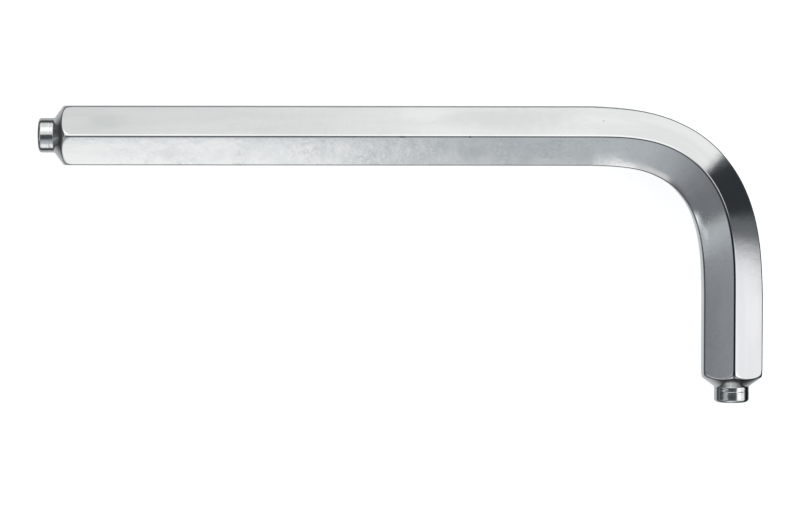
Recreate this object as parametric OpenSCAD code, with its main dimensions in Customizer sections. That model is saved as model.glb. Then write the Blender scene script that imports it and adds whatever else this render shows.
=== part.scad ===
// Hex key, bent from one length of hexagon bar, with a turned pilot at each end.
// It lies on the lower edge of its hexagon, with the floor at z = 0. The long arm runs
// along X and the short arm turns off towards -Y. All sizes are in millimetres.

/* [Bar] */
// Width across flats, which is the size of the screws it turns
across_flats = 10; // [7:0.5:13]
// Radius on the six long edges of the bar
edge_r = 0.7; // [0.1:0.05:0.9]

/* [Arms] */
// Length of the long arm over all, from its pilot to the outside of the short arm
long_l = 122; // [90:1:240]
// Length of the short arm over all, from its pilot to the outside of the long arm
short_l = 50; // [46:1:110]

/* [Bend] */
// Radius of the middle line where the bend is tightest
bend_r = 16; // [13:0.5:19]
// Length of bar over which the long arm eases into the bend
ease_long = 13.5; // [4:0.5:16]
// Length of bar over which the bend eases out into the short arm
ease_short = 21; // [4:0.5:23]
// Part of the stretch that thins the bar in the plane of the bend, the rest being across it
thinning_share = 0.7; // [0.5:0.05:0.9]
// Part of its width that the bar loses where the bend is tightest, as it is drawn round
narrowing_share = 0.03; // [0:0.01:0.08]

/* [Turned ends] */
// Diameter of the pilot, which enters the small bore at the bottom of a screw's socket
pilot_d = 5.9; // [3:0.1:6.6]
// Length of the pilot
pilot_l = 2.7; // [1:0.1:4]
// Radius on the free edge of the pilot
pilot_edge_r = 0.6; // [0.2:0.05:0.8]
// Angle between the axis and the cone that runs from the pilot up to the flats
cone_angle = 54; // [45:1:70]
// Radius of the shoulder that rounds the cone off into the long edges
shoulder_r = 1.4; // [0.2:0.1:2]

/* [Hidden] */
bar_colour = "silver";
turn_angle = 90;
edge_steps = 4;
ring_step = 0.6;
cut_clearance = 1;
round_steps = 5;
shoulder_end_angle = 15;
$fn = 96;

// The section stands on a corner, so two of its flats face along the plane of the bend.
// In the section, x points away from the centre of the bend and y points up.
half_flats = across_flats / 2;
edge_centre_r = (half_flats - edge_r) / cos(30);
corner_r = edge_centre_r + edge_r;
bar_section = [
    for (corner = [0:5], i = [0:edge_steps])
        let (
            corner_dir = 30 + 60 * corner,
            edge_dir = corner_dir - 30 + 60 * i / edge_steps
        )
        edge_centre_r * [cos(corner_dir), sin(corner_dir)] + edge_r * [cos(edge_dir), sin(edge_dir)]
];

// The middle line's curvature rises from 0 to 1 / bend_r, holds, and falls to 0 again
to_radians = PI / 180;
hold_l = turn_angle * to_radians * bend_r - (ease_long + ease_short) / 2;
bend_l = ease_long + hold_l + ease_short;
ring_count = ceil(bend_l / ring_step);
step_l = bend_l / ring_count;

function curvature(s) = max(0, min(s / ease_long, 1, (bend_l - s) / ease_short)) / bend_r;

// Angle turned after a length s of the bend, which is the area under the curvature
function turned(s) =
    let (
        eased_in = min(s, ease_long) ^ 2 / (2 * ease_long),
        held = max(0, min(s - ease_long, hold_l)),
        eased_out = (ease_short ^ 2 - min(ease_short, bend_l - s) ^ 2) / (2 * ease_short)
    )
    (eased_in + held + eased_out) / bend_r / to_radians;

// Points of the middle line from the start of the bend, each one step on from the last,
// in the direction that the bar has half way along the step
middle_line = [
    for (
        i = 0, p = [0, 0];
        i <= ring_count;
        p = p + step_l * [cos(turned((i + 0.5) * step_l)), -sin(turned((i + 0.5) * step_l))],
        i = i + 1
    )
        p
];

// The origin is at the middle of the key's overall box
long_free_x = -long_l / 2;
short_free_y = -short_l / 2;
bend_start = [long_l / 2 - half_flats - middle_line[ring_count].x, short_l / 2 - half_flats];
bend_end = bend_start + middle_line[ring_count];

// Every section along the bar: its middle, its direction and its curvature. The first and
// last are past the free ends, which the lathe then faces to length.
bar_stations = [
    [[long_free_x - cut_clearance, bend_start.y], 0, 0],
    for (i = [0:ring_count])
        [bend_start + middle_line[i], turned(i * step_l), curvature(i * step_l)],
    [[bend_end.x, short_free_y - cut_clearance], turn_angle, 0]
];

// Bending stretches the outside of the bar and squeezes the inside. The stretched side
// thins and the squeezed side swells, so that every fibre keeps its volume. The whole
// width is then narrowed in step with the curvature.
function stretch(outward, k) = 1 + k * outward;
function narrowed(k) = 1 - narrowing_share * k * bend_r;
function bent(p, k) =
    k == 0 ? p : [
        narrowed(k) * (stretch(p.x, k) ^ (1 - thinning_share) - 1) / (k * (1 - thinning_share)),
        p.y / stretch(p.x, k) ^ (1 - thinning_share)
    ];

// The hexagon carried along the middle line, ring to ring, through both arms and the bend
module bent_bar() {
    sides = len(bar_section);
    rings = len(bar_stations);
    points = [
        for (station = bar_stations, p = bar_section)
            let (
                middle = station[0],
                heading = station[1],
                q = bent(p, station[2])
            )
            [middle.x + q.x * sin(heading), middle.y + q.x * cos(heading), q.y]
    ];
    skin = [
        for (ring = [0:rings - 2], side = [0:sides - 1])
            let (
                a = ring * sides + side,
                b = ring * sides + (side + 1) % sides
            )
            each [[a, b, a + sides], [b, b + sides, a + sides]]
    ];
    first_end = [for (side = [sides - 1:-1:0]) side];
    last_end = [for (side = [0:sides - 1]) (rings - 1) * sides + side];
    polyhedron(points = points, faces = concat(skin, [first_end, last_end]), convexity = 4);
}

// The shoulder is an arc that meets the cone smoothly and the long edges at a small angle.
// Here x is the distance from the axis and y the distance from the free end.
pilot_r = pilot_d / 2;
shoulder_centre_r = corner_r - shoulder_r * cos(shoulder_end_angle);
shoulder_start_r = shoulder_centre_r + shoulder_r * cos(cone_angle);
shoulder_start_d = pilot_l + (shoulder_start_r - pilot_r) / tan(cone_angle);
shoulder_centre_d = shoulder_start_d + shoulder_r * sin(cone_angle);

function arc(centre, radius, from, to) = [
    for (i = [0:round_steps])
        let (dir = from + (to - from) * i / round_steps)
        centre + radius * [cos(dir), sin(dir)]
];

// All that a lathe takes off one end. The finished end is at z = 0 and the bar runs up Z.
module turned_off() {
    outside_r = corner_r + cut_clearance;
    past_edges_d = shoulder_centre_d - shoulder_r * sin(shoulder_end_angle)
        + cut_clearance / tan(shoulder_end_angle);
    pilot_edge = arc([pilot_r - pilot_edge_r, pilot_edge_r], pilot_edge_r, -90, 0);
    shoulder = arc(
        [shoulder_centre_r, shoulder_centre_d], shoulder_r, -cone_angle, -shoulder_end_angle
    );
    rotate_extrude()
        polygon(concat(
            [[0, -2 * cut_clearance], [0, 0]],
            pilot_edge,
            [[pilot_r, pilot_l]],
            shoulder,
            [[outside_r, past_edges_d], [outside_r, -2 * cut_clearance]]
        ));
}

module hex_key()
    color(bar_colour)
        translate([0, 0, corner_r])
            difference() {
                bent_bar();
                translate([long_free_x, bend_start.y, 0])
                    rotate([0, 90, 0])
                        turned_off();
                translate([bend_end.x, short_free_y, 0])
                    rotate([-90, 0, 0])
                        turned_off();
            }

hex_key();
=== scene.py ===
import math

import bpy
import numpy as np
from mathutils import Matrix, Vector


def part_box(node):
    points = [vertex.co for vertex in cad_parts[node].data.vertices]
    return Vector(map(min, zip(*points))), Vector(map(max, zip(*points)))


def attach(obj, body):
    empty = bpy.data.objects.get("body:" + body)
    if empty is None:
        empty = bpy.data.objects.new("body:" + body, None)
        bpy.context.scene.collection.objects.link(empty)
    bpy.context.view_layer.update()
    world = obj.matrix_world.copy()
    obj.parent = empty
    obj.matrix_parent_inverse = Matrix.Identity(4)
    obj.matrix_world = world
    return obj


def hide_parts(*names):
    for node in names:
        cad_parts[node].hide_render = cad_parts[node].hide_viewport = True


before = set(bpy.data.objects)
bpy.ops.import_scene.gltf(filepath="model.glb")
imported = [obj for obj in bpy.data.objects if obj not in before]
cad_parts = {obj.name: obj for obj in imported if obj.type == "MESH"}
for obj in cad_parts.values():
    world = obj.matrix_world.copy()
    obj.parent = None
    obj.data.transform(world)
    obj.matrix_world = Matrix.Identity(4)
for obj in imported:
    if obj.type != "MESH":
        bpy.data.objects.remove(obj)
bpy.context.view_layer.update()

# Looks of a plated hex key: the bar with its compound bend, its two turned ends, and the
# studio that its flats reflect. Lengths are in millimetres until a mesh is made.

key_low, key_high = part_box("hex_key")
MM = 0.001

# Sizes of the bar, of its bend and of its turned ends, as in the part's source
long_l = (key_high.x - key_low.x) / MM
short_l = (key_high.y - key_low.y) / MM
corner_r = (key_high.z - key_low.z) / 2 / MM
lying_z = (key_high.z + key_low.z) / 2 / MM
half_flats = 5.0
bend_r = 16.0
ease_long = 13.5
ease_short = 21.0
thinning_share = 0.7
narrowing_share = 0.03
pilot_r = 2.95
pilot_l = 2.7
pilot_edge_r = 0.6
cone_angle = 54.0
shoulder_r = 1.4
shoulder_end_angle = 15.0

# The surface only: small forms on it, and how closely it is divided
flat_crown_r = 200.0
inner_roll_w = 1.5
inner_roll_depth = 0.15
cone_edge_blend = 0.22
root_fillet_r = 0.15
turning_pitch = 0.70
second_pitch_share = 1.7
turning_depth = 0.003
groove_from_root = 0.75
groove_half_w = 0.22
groove_depth = 0.03
flat_steps = 20
edge_steps = 8
straight_step = 1.5
bend_step = 0.35
turned_step = 0.07
round_steps = 14
face_steps = 8
past_steps = 11
line_points = 4001
nearly_straight = 1e-9

quarter_turn = math.pi / 2
sixth_turn = math.pi / 3
twelfth_turn = math.pi / 6
crown_slope = half_flats * math.tan(twelfth_turn) / flat_crown_r
crown_depth = flat_crown_r * crown_slope**2 / 2
sharp_corner_r = (half_flats - crown_depth) / math.cos(twelfth_turn)
edge_r = (sharp_corner_r - corner_r) / (1 / math.cos(twelfth_turn) - 1)
edge_centre_r = corner_r - edge_r
hold_l = quarter_turn * bend_r - (ease_long + ease_short) / 2
bend_l = ease_long + hold_l + ease_short


def smoothstep(low, high, value):
    """0 below low, 1 above high, and 3t^2 - 2t^3 between them."""
    t = np.clip((value - low) / (high - low), 0, 1)
    return t * t * (3 - 2 * t)


def curvature(run):
    """Curvature after a run along the bend: up evenly to 1 / bend_r, held, then evenly to 0."""
    rise = run / ease_long
    fall = (bend_l - run) / ease_short
    return np.clip(np.minimum(np.minimum(rise, fall), 1), 0, None) / bend_r


def turned(run):
    """Angle turned after a run along the bend, in radians: the area under the curvature."""
    run = np.clip(run, 0, bend_l)
    eased_in = np.minimum(run, ease_long) ** 2 / (2 * ease_long)
    held = np.clip(run - ease_long, 0, hold_l)
    eased_out = (ease_short**2 - np.minimum(ease_short, bend_l - run) ** 2) / (2 * ease_short)
    return (eased_in + held + eased_out) / bend_r


# The middle line of the bend, added up from steps that are far shorter than the mesh's
line_run = np.linspace(0, bend_l, line_points)
line_step = np.diff(line_run)
line_way = turned(line_run[:-1] + line_step / 2)
line_x = np.append(0, np.cumsum(line_step * np.cos(line_way)))
line_y = np.append(0, np.cumsum(-line_step * np.sin(line_way)))
bend_x = long_l / 2 - half_flats - line_x[-1]
bend_y = short_l / 2 - half_flats
run_start = -long_l / 2 - bend_x
run_end = bend_l + bend_y + line_y[-1] + short_l / 2


def middle_line(run):
    """Place of the bar's middle after a run from the bend's start, in the arms and the bend."""
    x = bend_x + np.minimum(run, 0) + np.interp(run, line_run, line_x)
    y = bend_y - np.maximum(run - bend_l, 0) + np.interp(run, line_run, line_y)
    return x, y


def hexagon_section():
    """Once round the hexagon that stands on a corner: slightly crowned flats, joined by arcs.

    A flat falls away by across^2 / (2 flat_crown_r). Its points are crowded towards its ends by a
    sine, so that its shading stays even up to the edge. Returns x away from the bend's centre and
    y upwards.
    """
    flat_half_w = edge_centre_r * math.sin(twelfth_turn) + edge_r * crown_slope
    across = np.sin(np.linspace(-quarter_turn, quarter_turn, flat_steps + 1)) * flat_half_w
    out = half_flats - across**2 / (2 * flat_crown_r)
    arc = np.linspace(crown_slope - twelfth_turn, twelfth_turn - crown_slope, edge_steps + 1)[1:-1]
    xs, ys = [], []
    for facing in sixth_turn * np.arange(6):
        xs.append(out * math.cos(facing) - across * math.sin(facing))
        ys.append(out * math.sin(facing) + across * math.cos(facing))
        corner = facing + twelfth_turn
        xs.append(edge_centre_r * math.cos(corner) + edge_r * np.cos(corner + arc))
        ys.append(edge_centre_r * math.sin(corner) + edge_r * np.sin(corner + arc))
    return np.concatenate(xs), np.concatenate(ys)


def turned_profile():
    """Distance from the free end and radius of the turned surface, from the axis outwards.

    It is a flat end, a rounded edge, a pilot whose radius waves by two pitches of the lathe tool
    and dips in one shallow groove, a small fillet at the root, a cone, and a shoulder whose arc
    meets the bar's long edges at a small angle. It goes on to just past the corners.
    """
    slope = math.radians(cone_angle)
    last_slope = math.radians(shoulder_end_angle)
    face_r = np.linspace(0, pilot_r - pilot_edge_r, face_steps + 1)[:-1]
    edge = np.linspace(0, quarter_turn, round_steps)
    pilot_d = np.arange(pilot_edge_r + turned_step, pilot_l, turned_step)
    from_root = np.clip((pilot_l - pilot_d) / root_fillet_r, 0, 1)
    turns = math.tau * (pilot_d - pilot_edge_r) / turning_pitch
    waves = -turning_depth * (2 - np.cos(turns) - np.cos(second_pitch_share * turns)) * from_root
    in_groove = 1 - np.abs(pilot_l - groove_from_root - pilot_d) / groove_half_w
    waves -= groove_depth * smoothstep(0, 1, in_groove)
    fillet = root_fillet_r * (1 - np.sqrt(1 - (1 - from_root) ** 2)) * math.cos(slope)

    centre_r = corner_r - shoulder_r * math.cos(last_slope)
    cone_end_r = centre_r + shoulder_r * math.cos(slope)
    cone_r = np.arange(pilot_r + fillet[-1] + turned_step, cone_end_r, turned_step)
    cone_end_d = pilot_l + (cone_end_r - pilot_r) / math.tan(slope)
    round_slope = np.linspace(slope, last_slope, round_steps)
    round_d = cone_end_d + shoulder_r * (math.sin(slope) - np.sin(round_slope))
    past_r = corner_r + np.linspace(0, 3 * cone_edge_blend, past_steps + 1)[1:]
    distance = np.concatenate([
        0 * face_r,
        pilot_edge_r * (1 - np.cos(edge)),
        pilot_d,
        pilot_l + (cone_r - pilot_r) / math.tan(slope),
        round_d,
        round_d[-1] + (past_r - corner_r) / math.tan(last_slope),
    ])
    radius = np.concatenate([
        face_r,
        pilot_r - pilot_edge_r * (1 - np.sin(edge)),
        pilot_r + waves + fillet,
        cone_r,
        centre_r + shoulder_r * np.cos(round_slope),
        past_r,
    ])
    return distance, radius


def smooth_min(a, b, blend):
    """The smaller of a and b, rounded where they are within blend of each other."""
    t = np.clip(0.5 + 0.5 * (b - a) / blend, 0, 1)
    return b + (a - b) * t - blend * t * (1 - t)


def key_surface():
    """The whole skin of the key, as a grid of rows along the bar by columns round it.

    A row is the hexagon, drawn in to the lathe's radius near an end. Bending thins the stretched
    side and swells the squeezed one so that every fibre keeps its volume, the flats beside the
    inner side roll off towards it, and the row is then set square to the middle line. Returns the
    points, the run of each row and, for the map, the way along the skin to each row and round to
    each column.
    """
    end_d, end_r = turned_profile()
    hexagon_from = end_d[-1]
    no_limit = 10 * corner_r
    long_arm = np.arange(run_start + hexagon_from + straight_step, 0, straight_step)
    bend = np.arange(0, bend_l, bend_step)
    short_arm = np.arange(bend_l, run_end - hexagon_from, straight_step)
    run = np.concatenate([run_start + end_d, long_arm, bend, short_arm, run_end - end_d[::-1]])
    free = np.full(len(run) - 2 * len(end_d), no_limit)
    limit = np.concatenate([end_r, free, end_r[::-1]])[:, None]

    x, y = hexagon_section()
    reach = np.hypot(x, y)[None]
    drawn_in = np.where(limit < no_limit, smooth_min(limit, reach, cone_edge_blend), reach)
    drawn_in = np.where(limit < pilot_r + turned_step, np.minimum(limit, reach), drawn_in)
    away = x * drawn_in / reach
    up = y * drawn_in / reach

    bent = np.maximum(curvature(run), nearly_straight)[:, None]
    rolled = np.clip(1 - (away + half_flats) / inner_roll_w, 0, 1) ** 2 * (bent * bend_r) ** 2
    up = up * (1 - inner_roll_depth * rolled / (half_flats * math.tan(twelfth_turn)))
    stretch = 1 + bent * away
    away = (stretch ** (1 - thinning_share) - 1) / (bent * (1 - thinning_share))
    away = away * (1 - narrowing_share * bent * bend_r)
    up = up / stretch ** (1 - thinning_share)
    up = up * (corner_r / up.max())

    way = turned(run)[:, None]
    middle_x, middle_y = middle_line(run)
    points = np.stack([
        middle_x[:, None] + away * np.sin(way),
        middle_y[:, None] + away * np.cos(way),
        lying_z + up,
    ], axis=2)
    side_l = np.hypot(np.diff(x, append=x[0]), np.diff(y, append=y[0]))
    around = np.append(0, np.cumsum(side_l))
    skin_r = np.minimum(limit[:, 0], end_r[-1])
    along = np.append(0, np.cumsum(np.hypot(np.diff(run), np.diff(skin_r))))
    return points, run, along, around


def grid_mesh(name, points, along, around):
    """A closed mesh from rows of points, the first and last of which are points on the axis."""
    rows, columns = points.shape[:2]
    inner = points[1:-1].reshape(-1, 3)
    places = np.concatenate([points[:1, 0], inner, points[-1:, 0]]) * MM
    last = len(places) - 1
    ring = np.arange(columns)
    onward = (ring + 1) % columns

    def at(row, column):
        return 1 + row * columns + column

    first_row = np.arange(rows - 3)[:, None]
    next_row = first_row + 1
    quads = np.stack([
        at(first_row, ring), at(first_row, onward), at(next_row, onward), at(next_row, ring),
    ], axis=2).reshape(-1, 4)
    first_fan = np.stack([0 * ring, at(0, onward), at(0, ring)], axis=1)
    last_fan = np.stack([at(rows - 3, ring), at(rows - 3, onward), 0 * ring + last], axis=1)
    mesh = bpy.data.meshes.new(name)
    mesh.from_pydata(places.tolist(), [], quads.tolist() + first_fan.tolist() + last_fan.tolist())
    mesh.shade_smooth()

    # The map's u is the way along the skin and its v the way round it, both in metres
    u, v = along * MM, around * MM
    v_here, v_next = v[:-1], v[1:]
    row_u = np.stack([u[1:-2], u[1:-2], u[2:-1], u[2:-1]], axis=1)
    quad_u = np.repeat(row_u[:, None], columns, axis=1)
    quad_v = np.tile(np.stack([v_here, v_next, v_next, v_here], axis=1), (rows - 3, 1))
    first_u = np.tile([u[0], u[1], u[1]], columns)
    last_u = np.tile([u[-2], u[-2], u[-1]], columns)
    fan_v = np.stack([v_here, v_next, v_here], axis=1).ravel()
    map_u = np.concatenate([quad_u.ravel(), first_u, last_u])
    map_v = np.concatenate([quad_v.ravel(), fan_v, fan_v])
    layer = mesh.uv_layers.new(name="run_and_girth")
    layer.uv.foreach_set("vector", np.stack([map_u, map_v], axis=1).ravel())
    return mesh


def linear(colour):
    """sRGB hex such as "c8cacc" to linear red, green, blue and 1."""
    parts = [int(colour[i:i + 2], 16) / 255 for i in (0, 2, 4)]
    return [p / 12.92 if p <= 0.04045 else ((p + 0.055) / 1.055) ** 2.4 for p in parts] + [1]


def add_node(tree, kind, links=(), inputs=(), **settings):
    """A new node. Links give an input's source socket, and inputs give an input's own value."""
    made = tree.nodes.new(kind)
    for setting, value in settings.items():
        setattr(made, setting, value)
    for socket, value in dict(inputs).items():
        made.inputs[socket].default_value = value
    for socket, source in dict(links).items():
        tree.links.new(source, made.inputs[socket])
    return made


def calculate(tree, operation, *values):
    """The result of a Math node, whose values are numbers or sockets."""
    made = add_node(tree, "ShaderNodeMath", operation=operation)
    for socket, value in enumerate(values):
        if isinstance(value, (int, float)):
            made.inputs[socket].default_value = value
        else:
            tree.links.new(value, made.inputs[socket])
    return made.outputs[0]


def product(tree, first, *others):
    """All the values multiplied together."""
    for other in others:
        first = calculate(tree, "MULTIPLY", first, other)
    return first


def between(tree, value, low, high, to_low=0.0, to_high=1.0):
    """Goes from to_low to to_high as the value goes from low to high, by 3t^2 - 2t^3."""
    return add_node(
        tree, "ShaderNodeMapRange", {"Value": value},
        {"From Min": low, "From Max": high, "To Min": to_low, "To Max": to_high},
        interpolation_type="SMOOTHSTEP",
    ).outputs["Result"]


def noise(tree, place, scale, detail, roughness, distortion=0.0):
    """Noise of 0 to 1 whose coarsest features are about 1 / scale apart."""
    return add_node(
        tree, "ShaderNodeTexNoise", {"Vector": place},
        {"Scale": scale, "Detail": detail, "Roughness": roughness, "Distortion": distortion},
    ).outputs["Fac"]


def overlay(tree, base, factor, colour, label=""):
    """The base colour, a list or a socket, turned into a listed colour by a factor."""
    base_socket, colour_socket = 6, 7
    mix = add_node(tree, "ShaderNodeMix", {"Factor": factor}, data_type="RGBA", label=label)
    if isinstance(base, list):
        mix.inputs[base_socket].default_value = base
    else:
        tree.links.new(base, mix.inputs[base_socket])
    mix.inputs[colour_socket].default_value = colour
    return mix.outputs[2]


# The plate's patterns: how coarse they are, and how high the low swellings stand
haze_l, haze_w = 20.0 * MM, 3.0 * MM
cluster_size = 8.0 * MM
cloud_size, cloud_h = 3.2 * MM, 0.010 * MM
ragged_size = 1.8 * MM
spot_size = 1.3 * MM
swelling_size, swelling_h = 1.0 * MM, 0.004 * MM
speck_size = 0.5 * MM

# The plate's colours
clean, hazed, clouded_tone = "dbdddd", "e3e4e4", "d7dadb"
stain_tone, light_speck, dark_speck, dark_ridge_tone = "c4c7c7", "eceeee", "bcbfc0", "70767c"

# The plate's roughness where it is clean and where it is stained, and what the lathe's marks add
clean_rough, stained_rough, turned_rough = 0.10, 0.17, 0.05

# Single marks. Columns: name, run in mm from the start of the bend, way round in flats (1 to 2 is
# the upper outer flat and 2 to 3 the upper inner one), half length and half width in mm, strength,
# colour.
plate_marks = [
    ("rub_by_outer_edge", -28.5, 1.20, 6.0, 1.8, 0.6, "eaebeb"),
    ("haze_near_free_end", -81.5, 1.50, 3.5, 2.2, 0.4, "cfd5d3"),
    ("haze_before_bend", -13.0, 1.40, 13.0, 3.0, 0.8, "d3d5d5"),
    ("stain_a", -71.0, 2.55, 3.6, 1.3, 0.35, "c6c9c9"),
    ("stain_b", -44.0, 2.55, 3.2, 1.6, 0.15, "c3c6c6"),
    ("stain_c", -20.0, 2.45, 3.5, 1.5, 0.35, "c6caca"),
    ("pale_patch_a", -24.5, 2.70, 3.0, 1.2, 0.7, "e6e7e7"),
    ("pale_patch_b", -7.0, 2.80, 4.0, 0.9, 0.6, "e6e7e7"),
    ("dot_on_outer_flat", 1.8, 1.42, 0.24, 0.24, 0.8, "b9bdbd"),
    ("nick_on_ridge_a", -32.0, 1.965, 0.8, 0.22, 0.5, "4a4e52"),
    ("nick_on_ridge_b", -20.6, 1.965, 0.30, 0.24, 0.6, "4a4e52"),
    # A painted highlight: a near-white patch on the upper inner flat by its inner edge in the
    # bend, where the crowned flat reflects the light
    ("painted_highlight_in_bend", 31.0, 2.76, 2.4, 0.7, 0.9, "fcfcfc"),
]


def plated_steel():
    """Chrome plate over cold drawn bar.

    The plate is nearly a mirror. The drawn bar under it shows as faint haze in streaks along its
    length and as low swellings, use has left stains, specks and a few nicks, and the upper edge is
    darker from the bend to the short end.
    """
    material = bpy.data.materials.new("chrome_plated_drawn_steel")
    material.use_nodes = True
    tree = material.node_tree
    shader = tree.nodes["Principled BSDF"]
    place = add_node(tree, "ShaderNodeTexCoord").outputs["Object"]
    skin = add_node(tree, "ShaderNodeUVMap", uv_map="run_and_girth").outputs[0]
    run, girth, _ = add_node(tree, "ShaderNodeSeparateXYZ", {0: skin}).outputs

    def run_between(from_bend, to_bend, to_low=0.0, to_high=1.0):
        """A step along the bar between two places given in mm from the start of the bend."""
        low, high = (bend_along + from_bend) * MM, (bend_along + to_bend) * MM
        return between(tree, run, low, high, to_low, to_high)

    def girth_between(low, high, to_low=0.0, to_high=1.0):
        """A step round the bar between two places given in flats."""
        return between(tree, girth, flat_girth * low * MM, flat_girth * high * MM, to_low, to_high)

    # Streaks of haze drawn out along the bar, a breath lighter or darker
    streaked = add_node(
        tree, "ShaderNodeVectorMath", {0: skin}, {1: (1 / haze_l, 1 / haze_w, 1)},
        operation="MULTIPLY",
    )
    haze = noise(tree, streaked.outputs[0], 1, 3, 0.5)

    # Clouds and stains in loose clusters, on the flats of the inner side. They begin a little way
    # from the free end and fade out along the long arm before the bend.
    spots = noise(tree, place, 1 / spot_size, 5, 0.7, 0.3)
    clusters = noise(tree, place, 1 / cluster_size, 2, 0.6)
    clouds = noise(tree, place, 1 / cloud_size, 3, 0.6)
    inner_side = product(tree, girth_between(1.95, 2.1), girth_between(4.95, 5.1, 1.0, 0.0))
    along_arm = product(
        tree, between(tree, run, 12 * MM, 30 * MM, 0.08, 1.0), run_between(-4, 12, 1.0, 0.25)
    )
    stained = product(
        tree, between(tree, spots, 0.40, 0.80), between(tree, clusters, 0.40, 0.60), along_arm,
        between(tree, inner_side, 0.0, 1.0, 0.12, 1.0),
    )
    clouded = product(tree, between(tree, clouds, 0.38, 0.64), inner_side, along_arm)
    tone = overlay(tree, linear(clean), between(tree, haze, 0.3, 0.7), linear(hazed))
    tone = overlay(tree, tone, clouded, linear(clouded_tone))
    tone = overlay(tree, tone, stained, linear(stain_tone))

    # Fine light and dark specks among them
    fine = noise(tree, place, 1 / speck_size, 2, 0.5)
    speckled = product(tree, inner_side, along_arm, between(tree, clusters, 0.44, 0.62))
    light = product(tree, between(tree, fine, 0.57, 0.70, 0.0, 0.7), speckled)
    dark = product(tree, between(tree, fine, 0.30, 0.41, 0.4, 0.0), speckled)
    tone = overlay(tree, tone, light, linear(light_speck))
    tone = overlay(tree, tone, dark, linear(dark_speck))

    # Single marks, each an ellipse with a ragged edge
    ragged = noise(tree, place, 1 / ragged_size, 3, 0.6)
    for name, from_bend, flats_round, half_l, half_w, strength, colour in plate_marks:
        off_centre = add_node(
            tree, "ShaderNodeVectorMath", {0: skin},
            {1: ((bend_along + from_bend) * MM, flats_round * flat_girth * MM, 0)},
            operation="SUBTRACT",
        )
        scaled = add_node(
            tree, "ShaderNodeVectorMath", {0: off_centre.outputs[0]},
            {1: (1 / (half_l * MM), 1 / (half_w * MM), 0)}, operation="MULTIPLY",
        )
        reach = add_node(
            tree, "ShaderNodeVectorMath", {0: scaled.outputs[0]}, operation="LENGTH"
        ).outputs["Value"]
        marked = between(tree, calculate(tree, "ADD", reach, ragged), 0.7, 1.6, strength, 0.0)
        tone = overlay(tree, tone, marked, linear(colour), name)

    # The ends, which the lathe has cut, are a little duller than the drawn flats
    short_flats_along = run_along - flats_along
    drawn = product(
        tree,
        between(tree, run, (flats_along - 0.4) * MM, (flats_along + 0.6) * MM),
        between(
            tree, run, (short_flats_along - 0.6) * MM, (short_flats_along + 0.4) * MM, 1.0, 0.0
        ),
    )

    # The upper edge is given a dark tone, in its colour only, from the tight part of the bend to
    # the short end
    edge_end = 2 * flat_girth
    upper_edge = product(
        tree,
        between(tree, girth, (edge_end - 0.62) * MM, (edge_end - 0.34) * MM),
        between(tree, girth, (edge_end - 0.16) * MM, (edge_end + 0.10) * MM, 1.0, 0.0),
    )
    darkened_ridge = product(tree, upper_edge, run_between(14, 34), drawn)
    tone = overlay(tree, tone, darkened_ridge, linear(dark_ridge_tone))
    tree.links.new(tone, shader.inputs["Base Color"])

    # Small chalky nicks near the tight inner edge, where the bar was pressed round the former
    nicked = product(
        tree, between(tree, fine, 0.60, 0.66),
        girth_between(2.40, 2.62), girth_between(2.84, 3.0, 1.0, 0.0),
        run_between(25, 28), run_between(33, 36, 1.0, 0.0),
    )
    tree.links.new(between(tree, nicked, 0.0, 1.0, 1.0, 0.0), shader.inputs["Metallic"])

    dullness = calculate(
        tree, "ADD",
        between(tree, stained, 0.0, 1.0, clean_rough, stained_rough),
        between(tree, drawn, 0.0, 1.0, turned_rough, 0.0),
    )
    tree.links.new(dullness, shader.inputs["Roughness"])

    # The plate isn't quite even: low swellings of two sizes mottle what the flats reflect
    swellings = noise(tree, place, 1 / swelling_size, 3, 0.6)
    waviness = add_node(
        tree, "ShaderNodeBump", {"Height": clouds}, {"Strength": 1, "Distance": cloud_h},
    )
    relief = add_node(
        tree, "ShaderNodeBump", {"Height": swellings, "Normal": waviness.outputs["Normal"]},
        {"Strength": 1, "Distance": swelling_h},
    )
    tree.links.new(relief.outputs["Normal"], shader.inputs["Normal"])
    return material


key_points, key_run, key_along, key_around = key_surface()
flat_girth = key_around[-1] / 6
run_along = key_along[-1]
bend_along = np.interp(0, key_run, key_along)
flats_along = key_along[np.argmax(turned_profile()[1] >= half_flats)]
key_mesh = grid_mesh("plated_key", key_points, key_along, key_around)
key = bpy.data.objects.new("plated_key", key_mesh)
bpy.context.scene.collection.objects.link(key)
key_mesh.materials.append(plated_steel())
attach(key, "root")
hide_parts("hex_key")


# The floor: its half width in metres, its glow for the camera, and the painted light that it shows
# in a reflection in place of its own lit paper. Each of these goes from one level to another
# between two
# places: how far the reflected ray runs beside the key and beyond it, and how far east it lands,
# in mm.
floor_half = 4.0
camera_glow = 0.745
beside_key = (8, 21, 0.62, 0.045)
beyond_key = (30, 90, 0.0, 0.22)
east_of_key = (60.8, 65.0, 1.0, 0.06)


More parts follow.
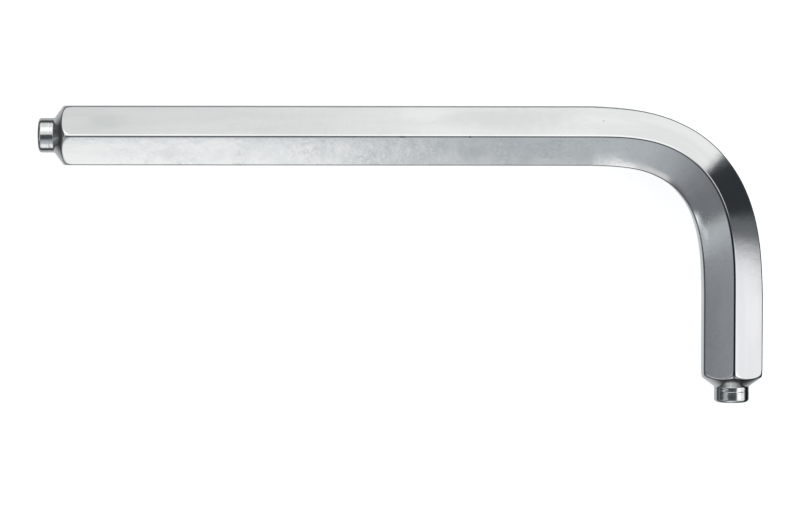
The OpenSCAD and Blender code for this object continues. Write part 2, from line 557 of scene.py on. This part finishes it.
def white_floor():
    """A sheet of matt white paper. Seen by the camera it also glows, so that it is white but for a
    faint shadow.

    In the plate's reflections it shows painted light in place of its own shading: a painted pool
    of light beside the key, painted dark further off as though out of the lights, and it ends just
    east of the short arm.
    """
    corners = [(-1, -1), (1, -1), (1, 1), (-1, 1)]
    places = [(floor_half * x, floor_half * y, 0) for x, y in corners]
    mesh = bpy.data.meshes.new("floor")
    mesh.from_pydata(places, [], [(0, 1, 2, 3)])
    material = bpy.data.materials.new("white_paper")
    material.use_nodes = True
    tree = material.node_tree
    paper = tree.nodes["Principled BSDF"]
    paper.inputs["Base Color"].default_value = linear("e8e8e8")
    paper.inputs["Roughness"].default_value = 0.9
    paper.inputs["Specular IOR Level"].default_value = 0
    paper.inputs["Emission Color"].default_value = (1, 1, 1, 1)
    path = add_node(tree, "ShaderNodeLightPath").outputs
    glow = calculate(tree, "MULTIPLY", path["Is Camera Ray"], camera_glow)
    tree.links.new(glow, paper.inputs["Emission Strength"])

    def stepped(value, step):
        from_mm, to_mm, to_low, to_high = step
        return between(tree, value, from_mm * MM, to_mm * MM, to_low, to_high)

    place = add_node(tree, "ShaderNodeTexCoord").outputs["Object"]
    east = add_node(tree, "ShaderNodeSeparateXYZ", {0: place}).outputs["X"]
    # Painted light that the floor shows only in reflections: bright beside the key, dark further
    # off
    beside = product(tree, stepped(path["Ray Length"], beside_key), stepped(east, east_of_key))
    painted_reflection_level = calculate(tree, "ADD", beside, stepped(path["Ray Length"], beyond_key))
    painted_floor_reflection = add_node(tree, "ShaderNodeEmission", {"Strength": painted_reflection_level})
    painted_floor_reflection.inputs["Color"].default_value = linear("f6fafd")
    seen_again = calculate(
        tree, "MAXIMUM", path["Is Glossy Ray"], path["Is Transmission Ray"]
    )
    choose = add_node(
        tree, "ShaderNodeMixShader",
        {0: seen_again, 1: paper.outputs[0], 2: painted_floor_reflection.outputs[0]},
    )
    tree.links.new(choose.outputs[0], tree.nodes["Material Output"].inputs["Surface"])
    mesh.materials.append(material)
    floor = bpy.data.objects.new("floor", mesh)
    bpy.context.scene.collection.objects.link(floor)


# What stands round the key. A later one covers those before it. Azimuth is measured from +Y
# towards +X and height from the horizon, in degrees, and each edge fades over a width of its own.
# Columns: name, azimuth of its middle, half its width, side fade, foot, foot fade, top, top fade,
# level of light, tint. The room itself goes all the way round.
studio_cards = [
    ("room", 0, 180, 0, -10, 20, 100, 2, 0.235, "f1f6fe"),
    ("south_wall", 180, 28, 60, -4, 14, 56, 22, 0.62, "f4faff"),
    ("south_foot", 180, 20, 16, 2, 20, 26.5, 4, 0.72, "ffffff"),
    ("south_west_foot", -162, 10, 8, 2, 20, 32, 5, 0.80, "ffffff"),
    ("low_white_card", -175.3, 4.25, 3, -2, 12, 30.1, 1.0, 1.17, "ffffff"),
    ("low_south_west_dark", -135, 12, 10, 0, 14, 30, 6, 0.15, "f0f6ff"),
    ("low_west_card", -110.5, 8.5, 6, 25, 6, 34, 6, 1.8, "f8fcff"),
    ("low_west_dark", -80, 26, 10, -6, 8, 27, 8, 0.08, "f0f6ff"),
    ("west_patch", -107, 5, 7, 20, 16, 47, 12, 0.57, "f4faff"),
    ("west_wall", -90, 14, 6, 39, 26, 64, 8, 0.60, "eff4fd"),
    ("north_west_box", -33, 36, 8, 2, 6, 83, 6, 0.86, "fdfffe"),
    ("low_north_west_dark", -57, 20, 10, -6, 8, 42, 8, 0.10, "f0f6ff"),
    ("north_box", 26, 27.5, 8, -2, 6, 83, 6, 1.06, "ffffff"),
    ("north_bright_band", 2, 34, 10, 34.4, 1.8, 62, 8, 1.35, "ffffff"),
    ("corner_flag", 69, 14, 6, -10, 4, 30, 8, 0.047, "dceaf8"),
    ("north_east_high_box", 70, 17, 6, 38, 6, 62, 6, 1.10, "fefdff"),
    ("east_dim_edge", 83, 4, 5, -6, 8, 56, 8, 0.17, "f4faff"),
    ("east_box", 106.3, 18, 10, 0, 8, 57, 6, 1.10, "fefdff"),
    ("east_bright_band", 106.3, 18, 10, 27.8, 1.6, 52, 6, 1.50, "ffffff"),
]

# The dark camera and its mount overhead: the middle and the half widths of the patch, along X and
# Y, in which it is seen, as parts of the dome's radius
overhead_middle = (0.0, -0.16)
overhead_half = (0.50, 0.27)
overhead_fade = 0.25
overhead_level, overhead_tint = 0.09, "e6f0fa"
below_horizon = "404348"


def lit(level, tint):
    """The tint, in linear light, at a level."""
    return [level * part for part in linear(tint)[:3]] + [1]


def studio_world():
    """The room as the plate reflects it: soft boxes, cards and dark gaps, each in a patch of
    azimuth and height.
    """
    world = bpy.data.worlds.new("studio")
    bpy.context.scene.world = world
    world.use_nodes = True
    tree = world.node_tree
    background = tree.nodes["Background"]
    way = add_node(tree, "ShaderNodeTexCoord").outputs["Generated"]
    east, north, up = add_node(tree, "ShaderNodeSeparateXYZ", {0: way}).outputs

    def fade(value, middle, width):
        half = max(width, 0.01) / 2
        return between(tree, value, middle - half, middle + half)

    def less(value):
        return calculate(tree, "SUBTRACT", 1.0, value)

    height = calculate(tree, "DEGREES", calculate(tree, "ARCSINE", up))
    azimuth = calculate(tree, "DEGREES", calculate(tree, "ARCTAN2", east, north))
    room = linear(below_horizon)
    for card in studio_cards:
        name, middle, half_width, side_fade, foot, foot_fade, top, top_fade, level, tint = card
        mask = product(tree, fade(height, foot, foot_fade), less(fade(height, top, top_fade)))
        if half_width < 180:
            off_middle = calculate(tree, "SUBTRACT", azimuth, middle)
            aside = calculate(
                tree, "ABSOLUTE", calculate(tree, "WRAP", off_middle, 180.0, -180.0)
            )
            mask = product(tree, mask, less(fade(aside, half_width, side_fade)))
        room = overlay(tree, room, mask, lit(level, tint), name)

    def off_overhead(side, middle, half):
        across = calculate(tree, "DIVIDE", calculate(tree, "SUBTRACT", side, middle), half)
        return calculate(tree, "MULTIPLY", across, across)

    off = calculate(
        tree, "SQRT",
        calculate(
            tree, "ADD",
            off_overhead(east, overhead_middle[0], overhead_half[0]),
            off_overhead(north, overhead_middle[1], overhead_half[1]),
        ),
    )
    overhead = product(
        tree, less(fade(off, 1.0, overhead_fade)), calculate(tree, "GREATER_THAN", up, 0.0)
    )
    room = overlay(tree, room, overhead, lit(overhead_level, overhead_tint), "overhead_dark")
    tree.links.new(room, background.inputs["Color"])

    # The camera itself sees white beyond the floor
    path = add_node(tree, "ShaderNodeLightPath")
    white = add_node(tree, "ShaderNodeBackground")
    white.inputs["Color"].default_value = (1, 1, 1, 1)
    choose = add_node(
        tree, "ShaderNodeMixShader",
        {0: path.outputs["Is Camera Ray"], 1: background.outputs[0], 2: white.outputs[0]},
    )
    tree.links.new(choose.outputs[0], tree.nodes["World Output"].inputs["Surface"])


# The camera: where it is in metres, its turn about each axis in degrees, its lens and sensor in mm
camera_at = (-0.00007, 0.0373, 0.650)
camera_turn = (-3.3206, 0.0062, 0.0599)
camera_lens = 172.006
camera_sensor = 36


def photo_camera():
    """The camera looks down on the key from above its long arm, aimed at the middle of the key."""
    data = bpy.data.cameras.new("camera")
    data.lens = camera_lens
    data.sensor_width = camera_sensor
    camera = bpy.data.objects.new("camera", data)
    bpy.context.scene.collection.objects.link(camera)
    camera.location = camera_at
    camera.rotation_euler = [math.radians(angle) for angle in camera_turn]
    bpy.context.scene.camera = camera


white_floor()
studio_world()
photo_camera()
bpy.context.scene.view_settings.view_transform = "Standard"
